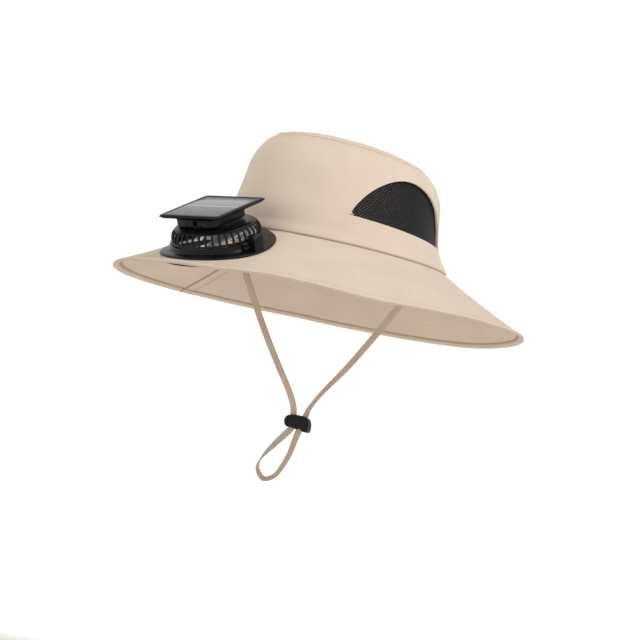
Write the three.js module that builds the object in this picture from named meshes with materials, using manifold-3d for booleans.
// Sun hat with a solar fan on its front brim, and an elastic chin strap that hangs from the head opening.
// Millimetres, +Z up. The origin is the middle of the head opening, where the crown meets the brim.
// -Y is the front, and +X is the wearer's left. Angles round the hat start at the front, towards +X.
import * as THREE from "three";
import { mergeVertices } from "three/addons/utils/BufferGeometryUtils.js";
import Module from "manifold-3d";

const wasm = await Module();
wasm.setup();

// Crown
const headWidth = 164;
const headLength = 195;
const wallHeight = 81; // from the head opening to the seam of the crown's tip
const tipRise = 10.2;
const crownFrontRise = 5.8; // the front of the crown's top stands this much above its middle
const sides = 44; // facets round the crown and the brim
const clothThickness = 1.3;
const clearance = 0.3; // between pieces that touch

// Band round the foot of the crown
const bandHeight = 21.6;
const bandFrontRise = 2.9;
const seamDip = 1.5; // the brim seam sags this much at the sides

// Mesh vents in the sides
const ventHeight = 42.7;
const ventHalfAngle = 38.9;
const ventLap = 4; // the mesh runs on behind the cloth by this much, and behind the band
const meshThickness = 1;

// Brim
const brimWidth = 79;
const brimFrontExtra = 10;
const brimLeftExtra = 3;
const brimDrop = 45.2;
const brimThickness = 2;
const hemThickness = 2.4;

// Fan
const flangeRadius = 47.2;
const flangeThickness = 1.4;
const flangeToCrown = 0.6;
const seatBend = 280; // radius that the brim and the flange share across the fan
const ductRadius = 34.8;
const collarWall = 1.8;
const collarDepth = 7;
const baseRingHeight = 5.2;
const baseRingWall = 3.4;
const cageRadius = 36.6;
const cageHeight = 18.2;
const cageWall = 1.5;
const cageFoot = 1.8;
const shoulderRadius = 9;
const ribCount = 40;
const ribShare = 0.34; // rib width as a share of the pitch
const lugHeight = 10.4;
const lugReach = 46.2;
const lugHalfAngle = 7;
const retainerWidth = 8.4;
const retainerThickness = 3;

// Rotor and motor
const bladeCount = 5;
const bladeGap = 2.2; // between a blade's tip and the duct
const bladeThickness = 1.4;
const bladeTop = 14;
const bladeBottom = 6.6;
const bladeAngle = 62;
const hubRadius = 12.5;
const hubHeight = 5.6;
const motorRadius = 10;
const shaftRadius = 1.5;
const shaftClearance = 0.35;

// Housing and solar panel
const housingSide = 42.6;
const housingCorner = 6;
const housingHeight = 8.8;
const housingFlare = 4;
const housingShift = [-1.7, -1.3]; // the housing stands a little off the fan's axis
const panelSide = 62.6;
const panelCorner = 2.6;
const panelThickness = 3.3;
const panelBorder = 4;
const cellThickness = 0.9;
const panelShift = [0, -0.2];
// The head sits a little askew on the cage, in degrees.
const headPitch = 0.6;
const headLean = -1.2;
const headTurn = 3.3;

// Chin strap and cord lock
const strapWidth = 5.6;
const strapThickness = 1.6;
const strapSteps = 56;
const strapTurn = 17.57; // degrees from +X to the plane in which the strap hangs
const strapMiddle = [1.35, -5.45];
const lockWidth = 22;
const lockHeight = 10.4;
const lockDepth = 8.4;
const lockCentre = -146.3;
const lockFootDrop = 2.4;
const slotClearance = 0.45; // the strap bends a little where it enters

// Slots through the lock, where the strap's two strands run: place along the lock, and lean in degrees.
const lockSlots = [
  { along: -5.4, lean: 0 },
  { along: 4.2, lean: 15.5 },
];

// Crown sections. Wall and tip are shares of wallHeight and tipRise, across of half headWidth, along of half
// headLength, and back is how far the section's middle lies behind the origin, as a share of headLength.
const crownSections = [
  { wall: -0.04, tip: 0, across: 1.116, along: 1.054, back: 0.006 },
  { wall: 0, tip: 0, across: 1.116, along: 1.054, back: 0.006 },
  { wall: 0.1, tip: 0, across: 1.067, along: 1.036, back: 0.004 },
  { wall: 0.27, tip: 0, across: 1, along: 1, back: -0.012 },
  { wall: 0.52, tip: 0, across: 0.957, along: 0.964, back: -0.006 },
  { wall: 0.76, tip: 0, across: 0.921, along: 0.928, back: 0 },
  { wall: 0.91, tip: 0, across: 0.85, along: 0.862, back: 0 },
  { wall: 1, tip: 0, across: 0.766, along: 0.79, back: 0 },
  { wall: 1, tip: 0.36, across: 0.67, along: 0.712, back: 0 },
  { wall: 1, tip: 0.64, across: 0.54, along: 0.6, back: 0 },
  { wall: 1, tip: 0.88, across: 0.31, along: 0.38, back: 0 },
  { wall: 1, tip: 1, across: 0, along: 0, back: 0 },
];

// Brim sections, from the head opening to the rim. Sink is how far the cloth lies below a straight line,
// as a share of brimDrop, and thick is a share of the way from brimThickness to hemThickness.
const brimSections = [
  { out: 0, sink: 0, thick: 0 },
  { out: 0.28, sink: 0.012, thick: 0 },
  { out: 0.5, sink: 0.018, thick: 0 },
  { out: 0.72, sink: 0.016, thick: 0 },
  { out: 0.9, sink: 0.009, thick: 0 },
  { out: 0.95, sink: 0.003, thick: 1 },
  { out: 0.988, sink: -0.002, thick: 1 },
  { out: 1, sink: 0, thick: 0 },
];

// Slow waves of the rim. Front and side are shares of brimDrop, for a cosine and a sine from the front.
const rimWaves = [
  { perTurn: 1, front: 0, side: 0.014 },
  { perTurn: 2, front: -0.016, side: -0.006 },
  { perTurn: 3, front: 0.022, side: -0.013 },
];

// Short dips and bumps along the rim. Angle and spread are degrees, and rise is a share of brimDrop.
const rimBumps = [
  { angle: 21, spread: 7, rise: -0.046 },
  { angle: 38, spread: 11, rise: 0.034 },
  { angle: 55, spread: 11, rise: -0.036 },
  { angle: 82, spread: 13, rise: 0.02 },
  { angle: 130, spread: 28, rise: 0.036 },
];

// The strap's route in its own plane: along from the middle, and height.
// It runs from the wearer's right, through the lock, round the loop, back through the lock, to the left.
const strapRoute = [
  { along: -86, height: 0.5 },
  { along: -85.8, height: -4 },
  { along: -83.8, height: -10.5 },
  { along: -78.8, height: -18.8 },
  { along: -72.8, height: -29.7 },
  { along: -59.7, height: -52.1 },
  { along: -43, height: -79 },
  { along: -27.3, height: -102 },
  { along: -14.4, height: -120.1 },
  { along: -7.4, height: -132.5 },
  { along: -5.4, height: -139.8 },
  { along: -5.4, height: -146.3 },
  { along: -5.4, height: -152.8 },
  { along: -9.2, height: -157.8 },
  { along: -17.8, height: -168.6 },
  { along: -26.6, height: -181.2 },
  { along: -28.2, height: -190.8 },
  { along: -20.1, height: -198.2 },
  { along: -11.4, height: -193.6 },
  { along: -6.6, height: -185.4 },
  { along: -2.4, height: -174.8 },
  { along: 0.2, height: -162.4 },
  { along: 2.4, height: -152.8 },
  { along: 4.2, height: -146.3 },
  { along: 6, height: -139.8 },
  { along: 8.8, height: -131.4 },
  { along: 16.2, height: -119.2 },
  { along: 35, height: -93.6 },
  { along: 56, height: -60.4 },
  { along: 70.8, height: -35 },
  { along: 78.8, height: -20.6 },
  { along: 83.8, height: -11 },
  { along: 85.8, height: -4 },
  { along: 86, height: 0.5 },
];

const finishes = {
  cloth: { color: 0xdccbb7, roughness: 0.9, metalness: 0 },
  mesh: { color: 0x151517, roughness: 0.85, metalness: 0 },
  blackPlastic: { color: 0x1b1b1d, roughness: 0.38, metalness: 0 },
  greyPlastic: { color: 0xa9a9b0, roughness: 0.45, metalness: 0 },
  metal: { color: 0x8c8c90, roughness: 0.35, metalness: 0.9 },
  solarCell: { color: 0x5d5963, roughness: 0.16, metalness: 0 },
  strap: { color: 0xc9b8a0, roughness: 0.85, metalness: 0 },
};

const radians = THREE.MathUtils.degToRad;
const mix = THREE.MathUtils.lerp;
const smooth = THREE.MathUtils.smoothstep;
const fullTurn = Math.PI * 2;

// A wall between two surfaces of the same grid, as one closed body. top and under give a point for each
// column and row, and keep says which cells are filled, so the others are windows.
function wallBetween({ columns, rows, closed, top, under, keep = () => true }) {
  const across = closed ? columns : columns + 1;
  const vertices = [];
  for (const surface of [top, under]) {
    for (let row = 0; row <= rows; row += 1) {
      for (let column = 0; column < across; column += 1) {
        vertices.push(...surface(column, row));
      }
    }
  }
  const wrap = (column) => (closed ? (column + columns) % columns : column);
  const corner = (side, column, row) => (side * (rows + 1) + row) * across + wrap(column);
  const filled = (column, row) => {
    if (row < 0 || row >= rows) return false;
    if (!closed && (column < 0 || column >= columns)) return false;
    return keep(wrap(column), row);
  };
  const faces = [];
  const quad = (a, b, c, d) => faces.push(a, b, c, a, c, d);
  for (let row = 0; row < rows; row += 1) {
    for (let column = 0; column < columns; column += 1) {
      if (!filled(column, row)) continue;
      const [a, b] = [corner(0, column, row), corner(0, column + 1, row)];
      const [c, d] = [corner(0, column + 1, row + 1), corner(0, column, row + 1)];
      const [e, f] = [corner(1, column, row), corner(1, column + 1, row)];
      const [g, h] = [corner(1, column + 1, row + 1), corner(1, column, row + 1)];
      quad(a, b, c, d);
      quad(h, g, f, e);
      if (!filled(column, row - 1)) quad(b, a, e, f);
      if (!filled(column, row + 1)) quad(d, c, g, h);
      if (!filled(column - 1, row)) quad(a, d, h, e);
      if (!filled(column + 1, row)) quad(c, b, f, g);
    }
  }
  return closedGeometry(vertices, faces);
}

// Vertices that meet are merged, and triangles that fall flat at a pole are dropped.
function closedGeometry(vertices, faces) {
  const raw = new THREE.BufferGeometry();
  raw.setAttribute("position", new THREE.Float32BufferAttribute(vertices, 3));
  raw.setIndex(faces);
  const merged = mergeVertices(raw, 1e-3);
  const index = merged.index.array;
  const kept = [];
  for (let i = 0; i < index.length; i += 3) {
    const [a, b, c] = [index[i], index[i + 1], index[i + 2]];
    if (a !== b && b !== c && c !== a) kept.push(a, b, c);
  }
  merged.setIndex(kept);
  return merged;
}

function toSolid(geometry) {
  const bare = geometry.clone();
  bare.deleteAttribute("normal");
  bare.deleteAttribute("uv");
  const merged = mergeVertices(bare, 1e-3);
  return new wasm.Manifold(
    new wasm.Mesh({
      numProp: 3,
      vertProperties: merged.attributes.position.array,
      triVerts: new Uint32Array(merged.index.array),
    }),
  );
}

function toGeometry(solid) {
  const { numProp, numVert, vertProperties, triVerts } = solid.getMesh();
  const positions = new Float32Array(numVert * 3);
  for (let i = 0; i < numVert; i += 1) {
    positions.set(vertProperties.subarray(i * numProp, i * numProp + 3), i * 3);
  }
  const geometry = new THREE.BufferGeometry();
  geometry.setAttribute("position", new THREE.BufferAttribute(positions, 3));
  geometry.setIndex(new THREE.BufferAttribute(triVerts, 1));
  return geometry;
}

const joined = (...pieces) => toGeometry(pieces.map(toSolid).reduce((all, one) => all.add(one)));

function cut(body, ...tools) {
  return toGeometry(tools.map(toSolid).reduce((left, one) => left.subtract(one), toSolid(body)));
}

function named(name, geometry, finish) {
  geometry.computeVertexNormals();
  const mesh = new THREE.Mesh(geometry, new THREE.MeshStandardMaterial(finishes[finish]));
  mesh.name = name;
  return mesh;
}

// The crown's profile: one curve through the sections, so that every piece of the crown shares it.
const halfWidth = headWidth / 2;
const halfLength = headLength / 2;
const crownCurve = (endwise) =>
  new THREE.CatmullRomCurve3(
    crownSections.map((row) => {
      const height = row.wall * wallHeight + row.tip * tipRise;
      return new THREE.Vector3(row.across * halfWidth, endwise(row), height);
    }),
    false,
    "centripetal",
  );
const alongCurve = crownCurve((row) => row.along * halfLength);
const backCurve = crownCurve((row) => row.back * headLength);

// The share of the curve at which the crown reaches a height.
function curveShareAt(height) {
  let [low, high] = [0, 1];
  for (let step = 0; step < 30; step += 1) {
    const middle = (low + high) / 2;
    if (alongCurve.getPoint(middle).z < height) low = middle;
    else high = middle;
  }
  return (low + high) / 2;
}

// A point of the crown's outer face, or inset behind it. Angle starts at the front. Near the foot the
// opening sags at the sides, and the upper crown is higher at the front.
function crownPoint(angle, share, inset = 0) {
  const here = alongCurve.getPoint(share);
  const step = 0.004;
  const before = alongCurve.getPoint(Math.max(share - step, 0));
  const slope = alongCurve.getPoint(Math.min(share + step, 1)).sub(before);
  const outwards = new THREE.Vector2(slope.z, -slope.x).normalize();
  const across = Math.max(here.x - inset * outwards.x, 0);
  const along = Math.max(here.y - inset * outwards.x, 0);
  const y = backCurve.getPoint(share).y - along * Math.cos(angle);
  const rise = crownFrontRise * smooth(here.z, 0, wallHeight) * (-y / halfLength);
  const dip = seamDip * Math.sin(angle) ** 2 * Math.max(1 - here.z / bandHeight, 0);
  return [across * Math.sin(angle), y, here.z - inset * outwards.y + rise - dip];
}

const bandTopAt = (angle) => bandHeight + bandFrontRise * Math.cos(angle);

// A closed wall of the crown, through rings whose heights are functions of the angle.
function crownWall(ringHeights) {
  const angleOf = (column) => (column / sides) * fullTurn;
  const face = (inset) => (column, row) => {
    const angle = angleOf(column);
    return crownPoint(angle, curveShareAt(ringHeights[row](angle)), inset);
  };
  return wallBetween({
    columns: sides,
    rows: ringHeights.length - 1,
    closed: true,
    top: face(0),
    under: face(clothThickness),
  });
}

// The half-round of a vent, or of a tool that cuts it, on the side at the given angle.
function ventPatch({ sideAngle, lap, front, back }) {
  const [columns, rows] = [16, 5];
  const lapAngle = lap / halfWidth;
  const half = radians(ventHalfAngle) + lapAngle;
  const angleOf = (column) => sideAngle - half * Math.cos((column / columns) * Math.PI);
  const face = (inset) => (column, row) => {
    const angle = angleOf(column);
    const share = Math.min(Math.abs(angle - sideAngle) / half, 1);
    const foot = bandTopAt(angle) - ventLap;
    const top = bandTopAt(angle) + (ventHeight + lap) * (1 - share ** 2) ** 0.72;
    return crownPoint(angle, curveShareAt(mix(foot, Math.max(top, foot + 1), row / rows)), inset);
  };
  return wallBetween({ columns, rows, closed: false, top: face(front), under: face(back) });
}

const behindCloth = clothThickness + 2 * clearance; // clear of the facets too
const leftSide = Math.PI / 2;
const rightSide = -Math.PI / 2;

function crownTip() {
  const rows = 5;
  const foot = curveShareAt(wallHeight + clearance);
  const angleOf = (column) => (column / sides) * fullTurn;
  const face = (inset) => (column, row) => crownPoint(angleOf(column), mix(foot, 1, row / rows), inset);
  return wallBetween({ columns: sides, rows, closed: true, top: face(0), under: face(clothThickness) });
}

// The side wall stands on the band edge to edge, as sewn cloth does, and has the two vents cut out.
function crownSide() {
  const partWay = (share) => (angle) => mix(bandTopAt(angle) + clearance, wallHeight, share);
  const wall = crownWall([0, 0.33, 0.64, 0.85, 1].map(partWay));
  const through = { lap: 0, front: -10, back: 14 };
  const leftTool = ventPatch({ sideAngle: leftSide, ...through });
  const rightTool = ventPatch({ sideAngle: rightSide, ...through });
  return cut(wall, leftTool, rightTool);
}

// The band reaches down inside the brim's opening, so the two meet in one thin seam.
function crownBand() {
  return crownWall([() => -brimThickness, () => clearance, (angle) => bandTopAt(angle) / 2, bandTopAt]);
}

function ventMesh(sideAngle) {
  return ventPatch({ sideAngle, lap: ventLap, front: behindCloth, back: behindCloth + meshThickness });
}

// Brim. The fan's seat is a straight line from the crown to the rim at the front, bent across the fan.
const brimShare = curveShareAt(0);
const crownFoot = (angle) => crownPoint(angle, brimShare);
const rimPoint = (angle) => {
  const [x, y] = crownFoot(angle);
  const width = brimWidth + brimFrontExtra * Math.cos(angle) + brimLeftExtra * Math.sin(angle);
  const wave = rimWaves.reduce((sum, { perTurn, front, side }) => {
    const turn = perTurn * angle;
    return sum + front * Math.cos(turn) + side * Math.sin(turn);
  }, 0);
  return [x + width * Math.sin(angle), y - width * Math.cos(angle), brimDrop * (wave - 1)];
};
const [, crownFrontY, crownFrontZ] = crownFoot(0);
const [, rimFrontY, rimFrontZ] = rimPoint(0);
const seatTilt = Math.atan2(crownFrontZ - rimFrontZ, crownFrontY - rimFrontY);
const fanY = crownFrontY - flangeToCrown - flangeRadius * Math.cos(seatTilt);
const fanZ = crownFrontZ + (fanY - crownFrontY) * Math.tan(seatTilt);
const seatDrop = (x) => -(x ** 2) / (2 * seatBend);
const seatHeight = (x, y) => fanZ + (y - fanY) * Math.tan(seatTilt) + seatDrop(x) / Math.cos(seatTilt);

function brimPoint(angle, section, depthShare) {
  const [footX, footY, footZ] = crownPoint(angle, brimShare, -clearance);
  const [rimX, rimY, rimZ] = rimPoint(angle);
  const x = mix(footX, rimX, section.out);
  const y = mix(footY, rimY, section.out);
  const free = mix(footZ, rimZ, section.out) - section.sink * brimDrop;
  const fromFan = Math.hypot(x, (y - fanY) / Math.cos(seatTilt));
  const onSeat = 1 - smooth(fromFan, flangeRadius + 1, flangeRadius + 24);
  const turned = Math.atan2(Math.sin(angle), Math.cos(angle));
  const bump = rimBumps.reduce(
    (sum, row) => sum + row.rise * Math.exp(-(((turned - radians(row.angle)) / radians(row.spread)) ** 2)),
    0,
  );
  const height = mix(free, seatHeight(x, y), onSeat) + bump * brimDrop * section.out ** 4 * (1 - onSeat);
  const thickness = mix(brimThickness, hemThickness, section.thick);
  const rounded = section.out === 1 ? mix(0.25, 0.7, depthShare) : depthShare;
  return [x, y, height - thickness * rounded];
}

function brim() {
  const angleOf = (column) => (column / sides) * fullTurn;
  const face = (depthShare) => (column, row) => brimPoint(angleOf(column), brimSections[row], depthShare);
  const sheet = wallBetween({
    columns: sides,
    rows: brimSections.length - 1,
    closed: true,
    top: face(1),
    under: face(0),
  });
  const holeRadius = ductRadius + collarWall + 2 * clearance;
  const hole = new THREE.CylinderGeometry(holeRadius, holeRadius, 40, 48).rotateX(Math.PI / 2);
  hole.rotateX(seatTilt).translate(0, fanY, fanZ);
  return cut(sheet, hole);
}

// A ring turned about the fan's axis. Each profile point has a radius, a height and a share of the seat's
// bend, and the points run round the section so that the outer face comes first.
function turned(profile, sides) {
  const point = (column, place) => {
    const { radius, height, bent } = place;
    const angle = (column / sides) * fullTurn;
    const x = radius * Math.cos(angle);
    return [x, radius * Math.sin(angle), height + bent * seatDrop(x)];
  };
  const vertices = [];
  const faces = [];
  const count = profile.length;
  for (const place of profile) {
    for (let column = 0; column < sides; column += 1) vertices.push(...point(column, place));
  }
  for (let row = 0; row < count; row += 1) {
    for (let column = 0; column < sides; column += 1) {
      const next = (column + 1) % sides;
      const [low, high] = [row * sides, ((row + 1) % count) * sides];
      faces.push(low + column, low + next, high + next, low + column, high + next, high + column);
    }
  }
  return closedGeometry(vertices, faces);
}

const fanSides = 40;
const collarRadius = ductRadius + collarWall;
const flangeBottom = clearance + 0.1;
const flangeTop = flangeBottom + flangeThickness;

// Flange on the brim, the ring that the cage stands on, the collar through the brim, and the lug.
function fanBase() {
  const ringRadius = ductRadius + baseRingWall;
  const body = turned(
    [
      { radius: ductRadius, height: -collarDepth, bent: 0 },
      { radius: collarRadius, height: -collarDepth, bent: 0 },
      { radius: collarRadius, height: flangeBottom, bent: 1 },
      { radius: flangeRadius, height: flangeBottom, bent: 1 },
      { radius: flangeRadius, height: flangeTop - 0.5, bent: 1 },
      { radius: flangeRadius - 0.8, height: flangeTop, bent: 1 },
      { radius: ringRadius + 1.6, height: flangeTop + 0.2, bent: 1 },
      { radius: ringRadius + 0.3, height: flangeTop + 1.4, bent: 0.5 },
      { radius: ringRadius, height: baseRingHeight, bent: 0 },
      { radius: ductRadius, height: baseRingHeight, bent: 0 },
    ],
    fanSides,
  );
  const lugFoot = seatDrop(lugReach) + flangeTop - 0.6;
  const lugInner = cageRadius + 2 * clearance;
  const lugSection = [
    [lugInner - 0.2, baseRingHeight - 1.6],
    [lugReach - 3, lugFoot - 0.2],
    [lugReach, lugFoot],
    [lugReach, lugHeight - 1.6],
    [lugReach - 1.2, lugHeight],
    [lugInner, lugHeight],
  ];
  const steps = 3;
  const lug = sweptSection(lugSection, radians(-lugHalfAngle), radians(lugHalfAngle), steps);
  return joined(body, lug);
}

// A section of radius and height, swept part of the way round the fan's axis.
function sweptSection(section, from, to, steps) {
  const vertices = [];
  for (let step = 0; step <= steps; step += 1) {
    const angle = mix(from, to, step / steps);
    for (const [radius, height] of section) {
      vertices.push(radius * Math.cos(angle), radius * Math.sin(angle), height);
    }
  }
  const count = section.length;
  const faces = [];
  for (let step = 0; step < steps; step += 1) {
    for (let i = 0; i < count; i += 1) {
      const next = (i + 1) % count;
      const [a, b] = [step * count + i, step * count + next];
      faces.push(a, a + count, b + count, a, b + count, b);
    }
  }
  const outline = section.map(([radius, height]) => new THREE.Vector2(radius, height));
  for (const [a, b, c] of THREE.ShapeUtils.triangulateShape(outline, [])) {
    faces.push(a, b, c);
    const end = steps * count;
    faces.push(end + c, end + b, end + a);
  }
  return closedGeometry(vertices, faces);
}

// Ring under the brim that clamps the cloth against the flange.
function retainingRing() {
  const inner = collarRadius + clearance;
  const outer = inner + retainerWidth;
  const upper = -brimThickness * Math.cos(seatTilt) - clearance - 0.25;
  const lower = upper - retainerThickness;
  return turned(
    [
      { radius: inner, height: lower, bent: 1 },
      { radius: outer - 1, height: lower, bent: 1 },
      { radius: outer, height: lower + 1, bent: 1 },
      { radius: outer, height: upper, bent: 1 },
      { radius: inner, height: upper, bent: 1 },
    ],
    fanSides,
  );
}

// Cage: a foot ring, ribs that curve over the shoulder, and the top plate.
function fanCage() {
  const arcCentre = { radius: cageRadius - shoulderRadius, height: cageHeight - shoulderRadius };
  const footHeight = baseRingHeight + clearance;
  const sections = [
    { outer: [cageRadius, footHeight], inner: [cageRadius - cageWall, footHeight] },
    { outer: [cageRadius, footHeight + cageFoot], inner: [cageRadius - cageWall, footHeight + cageFoot] },
  ];
  for (const degrees of [8, 30, 52, 90]) {
    const along = (radius) => [
      arcCentre.radius + radius * Math.cos(radians(degrees)),
      arcCentre.height + radius * Math.sin(radians(degrees)),
    ];
    sections.push({ outer: along(shoulderRadius), inner: along(shoulderRadius - cageWall) });
  }
  const plateHole = 4;
  sections.push({ outer: [plateHole, cageHeight], inner: [plateHole, cageHeight - cageWall] });
  const firstWindow = 1;
  const lastWindow = 3;
  const angleOf = (column) => {
    const pitch = fullTurn / ribCount;
    return (Math.floor(column / 2) + (column % 2) * ribShare) * pitch;
  };
  const face = (side) => (column, row) => {
    const [radius, height] = sections[row][side];
    return [radius * Math.cos(angleOf(column)), radius * Math.sin(angleOf(column)), height];
  };
  return wallBetween({
    columns: ribCount * 2,
    rows: sections.length - 1,
    closed: true,
    top: face("outer"),
    under: face("inner"),
    keep: (column, row) => column % 2 === 0 || row < firstWindow || row > lastWindow,
  });
}

const motorTop = cageHeight - cageWall - clearance;
const hubTop = bladeBottom + hubHeight;
const motorBottom = hubTop + clearance;

function lathe(points, sides) {
  const profile = points.map(([radius, height]) => new THREE.Vector2(radius, height));
  return new THREE.LatheGeometry(profile, sides).rotateX(Math.PI / 2);
}

function fanMotor() {
  return lathe(
    [
      [0, bladeBottom + 0.6],
      [shaftRadius, bladeBottom + 0.6],
      [shaftRadius, motorBottom],
      [motorRadius, motorBottom],
      [motorRadius, motorTop - 1],
      [motorRadius - 1, motorTop],
      [0, motorTop],
    ],
    20,
  );
}

function fanRotor() {
  const bore = shaftRadius + shaftClearance;
  const hub = lathe(
    [
      [bore, bladeBottom],
      [hubRadius - 1.5, bladeBottom],
      [hubRadius, bladeBottom + 1.5],
      [hubRadius, hubTop - 0.8],
      [hubRadius - 0.8, hubTop],
      [bore, hubTop],
      [bore, bladeBottom],
    ],
    30,
  );
  const tip = ductRadius - bladeGap;
  const columns = 4;
  const rows = 2;
  const blades = Array.from({ length: bladeCount }, (_, number) => {
    const start = (number / bladeCount) * fullTurn;
    const face = (depth) => (column, row) => {
      const radius = mix(hubRadius - 1, tip, row / rows);
      const angle = start + radians(bladeAngle) * (column / columns) + radians(10) * (row / rows);
      const height = mix(bladeBottom + bladeThickness, bladeTop, smooth(column / columns, -0.2, 1.2));
      return [radius * Math.cos(angle), radius * Math.sin(angle), height - depth];
    };
    return wallBetween({ columns, rows, closed: false, top: face(bladeThickness), under: face(0) });
  });
  return joined(hub, ...blades);
}

// Five points round each corner, anticlockwise.
function roundedSquare(side, corner) {
  const flat = side / 2 - corner;
  const points = [];
  for (let quarter = 0; quarter < 4; quarter += 1) {
    const middle = radians(45 + 90 * quarter);
    const centre = new THREE.Vector2(Math.cos(middle), Math.sin(middle)).multiplyScalar(flat * Math.SQRT2);
    for (const turn of [-45, -22.5, 0, 22.5, 45]) {
      const angle = middle + radians(turn);
      points.push(new THREE.Vector2(Math.cos(angle), Math.sin(angle)).multiplyScalar(corner).add(centre));
    }
  }
  return points;
}

// A body through rounded squares, from the lowest up.
function stacked(levels) {
  const outlines = levels.map(({ side, corner }) => roundedSquare(side, corner));
  const count = outlines[0].length;
  const vertices = levels.flatMap(({ height }, level) =>
    outlines[level].flatMap(({ x, y }) => [x, y, height]),
  );
  const faces = [];
  for (let level = 0; level + 1 < levels.length; level += 1) {
    for (let i = 0; i < count; i += 1) {
      const [a, b] = [level * count + i, level * count + ((i + 1) % count)];
      faces.push(a, b, b + count, a, b + count, a + count);
    }
  }
  const caps = THREE.ShapeUtils.triangulateShape(outlines[0], []);
  const top = (levels.length - 1) * count;
  for (const [a, b, c] of caps) faces.push(c, b, a, top + a, top + b, top + c);
  return closedGeometry(vertices, faces);
}

const headTilt = radians(Math.abs(headPitch) + Math.abs(headLean));
const housingBottom = cageHeight + clearance + (housingSide / 2) * Math.sin(headTilt);
const panelBottom = housingBottom + housingHeight + clearance;
const panelTop = panelBottom + panelThickness;

function fanHousing() {
  const top = housingBottom + housingHeight;
  const body = stacked([
    { side: housingSide - 1.2, corner: housingCorner, height: housingBottom },
    { side: housingSide, corner: housingCorner, height: housingBottom + 0.8 },
    { side: housingSide, corner: housingCorner, height: top - 2.6 },
    { side: housingSide + housingFlare * 0.35, corner: housingCorner, height: top - 1.2 },
    { side: housingSide + housingFlare, corner: housingCorner, height: top },
  ]);
  return body.translate(...housingShift, 0);
}

function solarFrame() {
  const tray = stacked([
    { side: panelSide - 4.4, corner: panelCorner, height: panelBottom },
    { side: panelSide - 0.6, corner: panelCorner, height: panelBottom + 1.6 },
    { side: panelSide, corner: panelCorner, height: panelTop - 1.4 },
    { side: panelSide - 2.4, corner: panelCorner, height: panelTop },
  ]);
  const recess = panelSide - 2 * panelBorder;
  const depth = cellThickness + clearance;
  const tool = new THREE.BoxGeometry(recess, recess, depth * 2).translate(0, 0, panelTop);
  return cut(tray, tool).translate(...panelShift, 0);
}

function solarCell() {
  const side = panelSide - 2 * panelBorder - 2 * clearance;
  const cell = new THREE.BoxGeometry(side, side, cellThickness);
  return cell.translate(...panelShift, panelTop - cellThickness / 2);
}

function chinStrap() {
  const route = new THREE.CatmullRomCurve3(
    strapRoute.map(({ along, height }) => new THREE.Vector3(along, 0, height)),
    false,
    "centripetal",
  );
  const [thin, wide] = [strapThickness / 2, strapWidth / 2];
  const section = new THREE.Shape([
    new THREE.Vector2(thin, -wide * 0.78),
    new THREE.Vector2(thin, wide * 0.78),
    new THREE.Vector2(thin * 0.5, wide),
    new THREE.Vector2(-thin * 0.5, wide),
    new THREE.Vector2(-thin, wide * 0.78),
    new THREE.Vector2(-thin, -wide * 0.78),
    new THREE.Vector2(-thin * 0.5, -wide),
    new THREE.Vector2(thin * 0.5, -wide),
  ]);
  return new THREE.ExtrudeGeometry(section, { steps: strapSteps, extrudePath: route });
}

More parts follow.
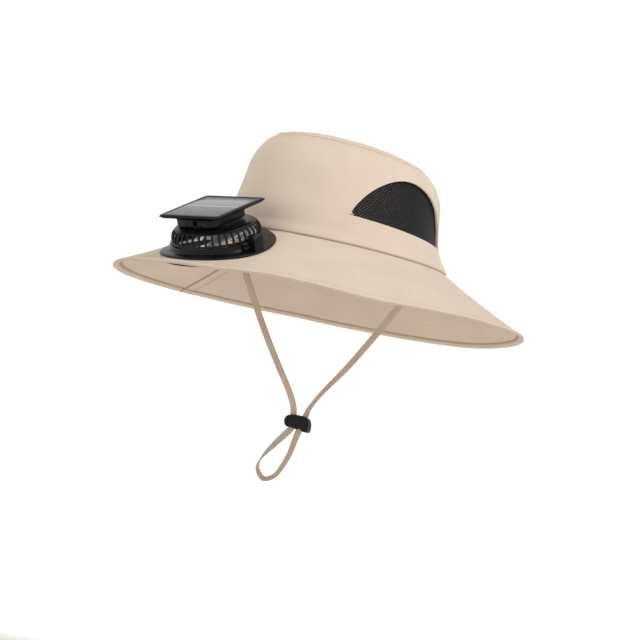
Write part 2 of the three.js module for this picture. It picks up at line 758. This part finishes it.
// Cord lock: a bean with a foot on the wearer's left, and a slot for each strand.
function cordLock() {
  const [halfWidth, halfHeight] = [lockWidth / 2, lockHeight / 2];
  const outline = new THREE.Shape();
  outline.moveTo(-halfWidth + 3, -halfHeight);
  outline.lineTo(halfWidth - 6, -halfHeight);
  const footHeight = -halfHeight - lockFootDrop;
  outline.quadraticCurveTo(halfWidth - 5, footHeight, halfWidth - 3, footHeight);
  outline.quadraticCurveTo(halfWidth + 1, footHeight, halfWidth, -halfHeight + 1);
  outline.lineTo(halfWidth, halfHeight - 4.4);
  outline.quadraticCurveTo(halfWidth - 0.6, halfHeight - 0.4, halfWidth - 4.4, halfHeight);
  outline.lineTo(-halfWidth + 3.6, halfHeight);
  outline.quadraticCurveTo(-halfWidth, halfHeight - 0.4, -halfWidth, halfHeight - 4);
  outline.lineTo(-halfWidth, -halfHeight + 3.4);
  outline.quadraticCurveTo(-halfWidth, -halfHeight, -halfWidth + 3, -halfHeight);
  const bevel = 1.6;
  const body = new THREE.ExtrudeGeometry(outline, {
    depth: lockDepth - 2 * bevel,
    curveSegments: 3,
    bevelSize: bevel,
    bevelOffset: -bevel,
    bevelThickness: bevel,
    bevelSegments: 2,
  });
  body.translate(0, 0, bevel - lockDepth / 2);
  body.rotateX(Math.PI / 2).translate(0, 0, lockCentre);
  const slotWidth = strapWidth + 2 * slotClearance;
  const slotDepth = strapThickness + 2 * slotClearance;
  const slots = lockSlots.map(({ along, lean }) => {
    const slot = new THREE.BoxGeometry(slotWidth, slotDepth, 3 * lockHeight);
    return slot.rotateY(radians(lean)).translate(along, 0, lockCentre);
  });
  return cut(body, ...slots);
}

const hat = new THREE.Group();
hat.add(
  named("crown_tip", crownTip(), "cloth"),
  named("crown_side", crownSide(), "cloth"),
  named("crown_band", crownBand(), "cloth"),
  named("vent_mesh_left", ventMesh(leftSide), "mesh"),
  named("vent_mesh_right", ventMesh(rightSide), "mesh"),
  named("brim", brim(), "cloth"),
);

const fan = new THREE.Group();
fan.position.set(0, fanY, fanZ);
fan.rotation.x = seatTilt;
fan.add(
  named("fan_base", fanBase(), "blackPlastic"),
  named("retaining_ring", retainingRing(), "blackPlastic"),
  named("fan_cage", fanCage(), "blackPlastic"),
  named("fan_motor", fanMotor(), "metal"),
  named("fan_rotor", fanRotor(), "greyPlastic"),
);

const head = new THREE.Group();
head.rotation.set(radians(headPitch), radians(headLean), radians(headTurn));
head.add(
  named("fan_housing", fanHousing(), "blackPlastic"),
  named("solar_frame", solarFrame(), "blackPlastic"),
  named("solar_cell", solarCell(), "solarCell"),
);
fan.add(head);
hat.add(fan);

const hanging = new THREE.Group();
hanging.position.set(...strapMiddle, 0);
hanging.rotation.z = radians(strapTurn);
hanging.add(named("chin_strap", chinStrap(), "strap"), named("cord_lock", cordLock(), "blackPlastic"));
hat.add(hanging);

export default hat;
